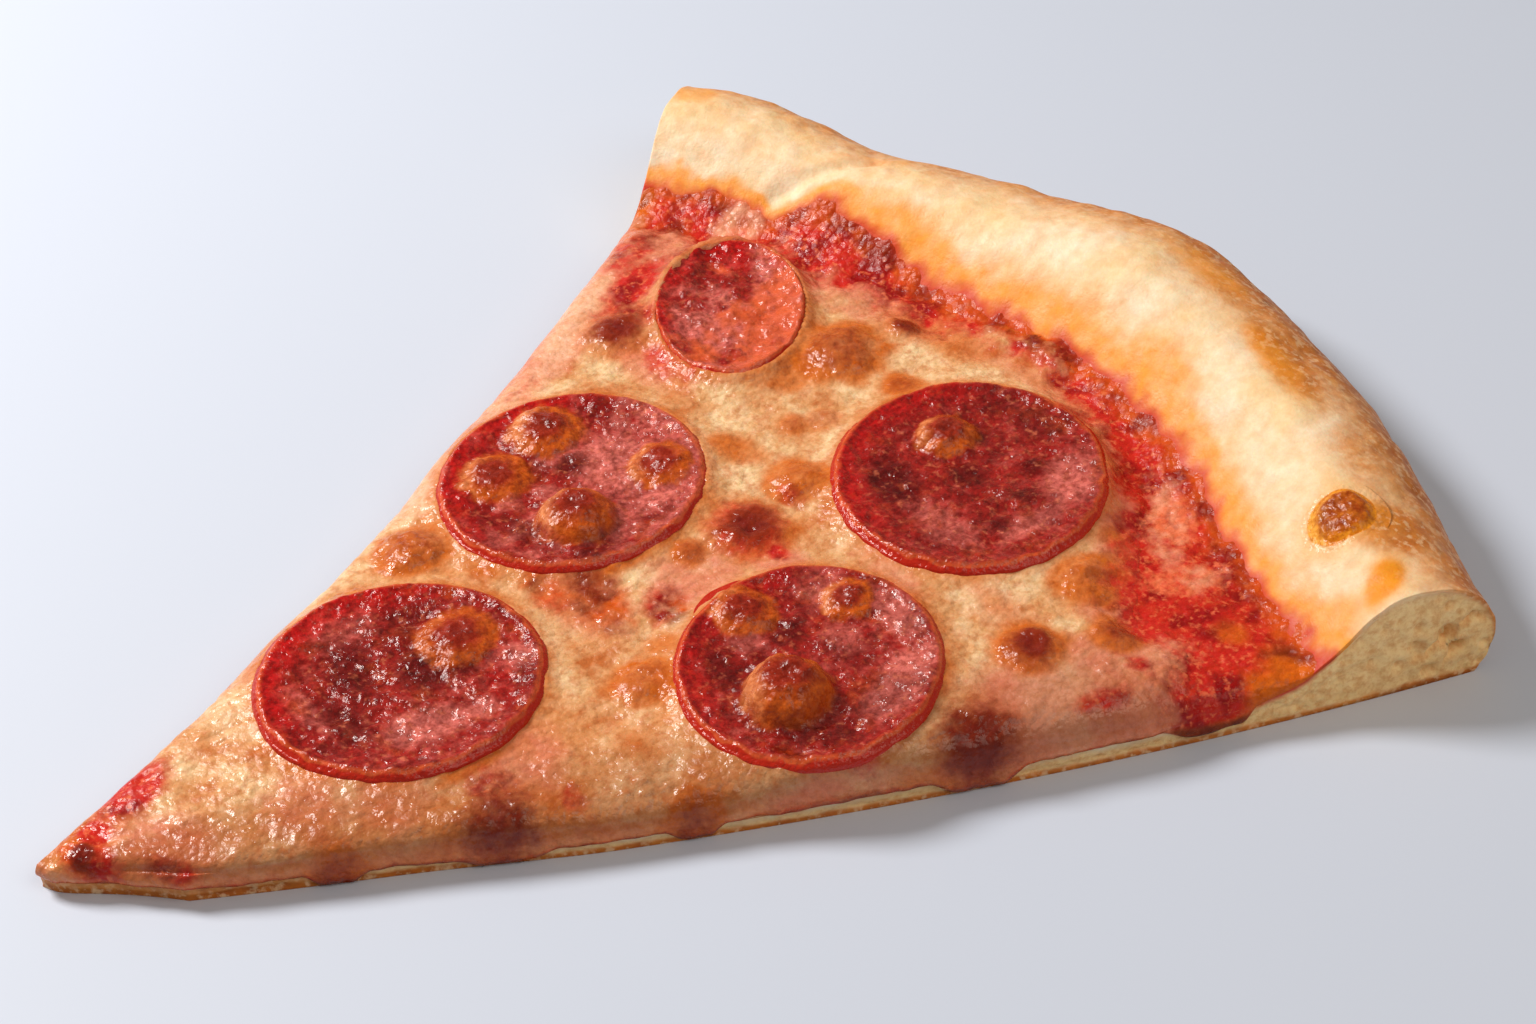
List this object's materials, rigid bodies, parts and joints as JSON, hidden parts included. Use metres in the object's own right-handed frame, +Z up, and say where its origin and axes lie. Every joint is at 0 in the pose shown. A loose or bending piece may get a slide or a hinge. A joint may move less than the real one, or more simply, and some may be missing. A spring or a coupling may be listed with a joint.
{
  "type": "pepperoni pizza slice",
  "caption": "Triangular slice of thin pizza with a puffed crust rim, tomato sauce, baked cheese and pepperoni, lying flat.",
  "frame": {"origin": "middle of the slice's bounding box, on the flat underside that it rests on", "axes": "+Y runs from the tip to the crust rim, +X to the longer cut side, +Z up out of the toppings"},
  "size_m": [0.1749, 0.2006, 0.0207],
  "materials": {
    "baked_crust": "matt bread crust, cream to golden tan, with a pale porous crumb on the cuts",
    "tomato_sauce": "moist, pulpy red sauce with an oily shine",
    "baked_cheese": "melted cheese, golden tan with pink and browned patches, oily shine",
    "pepperoni": "cured sausage, deep red, finely wrinkled and oily",
    "toasted_cheese": "blistered cheese, orange to red brown, glossy"
  },
  "bodies": {
    "root": {"crust": "baked_crust", "sauce": "tomato_sauce", "cheese": "baked_cheese", "pepperoni_1": "pepperoni", "pepperoni_2": "pepperoni", "pepperoni_3": "pepperoni", "pepperoni_4": "pepperoni", "pepperoni_5": "pepperoni", "cheese_bubble_1": "toasted_cheese", "cheese_bubble_2": "toasted_cheese", "cheese_bubble_3": "toasted_cheese", "cheese_bubble_4": "toasted_cheese", "cheese_bubble_5": "toasted_cheese", "cheese_bubble_6": "toasted_cheese", "cheese_bubble_7": "toasted_cheese", "cheese_bubble_8": "toasted_cheese", "cheese_bubble_9": "toasted_cheese", "rim_bubble": "toasted_cheese"}
  },
  "joints": []
}
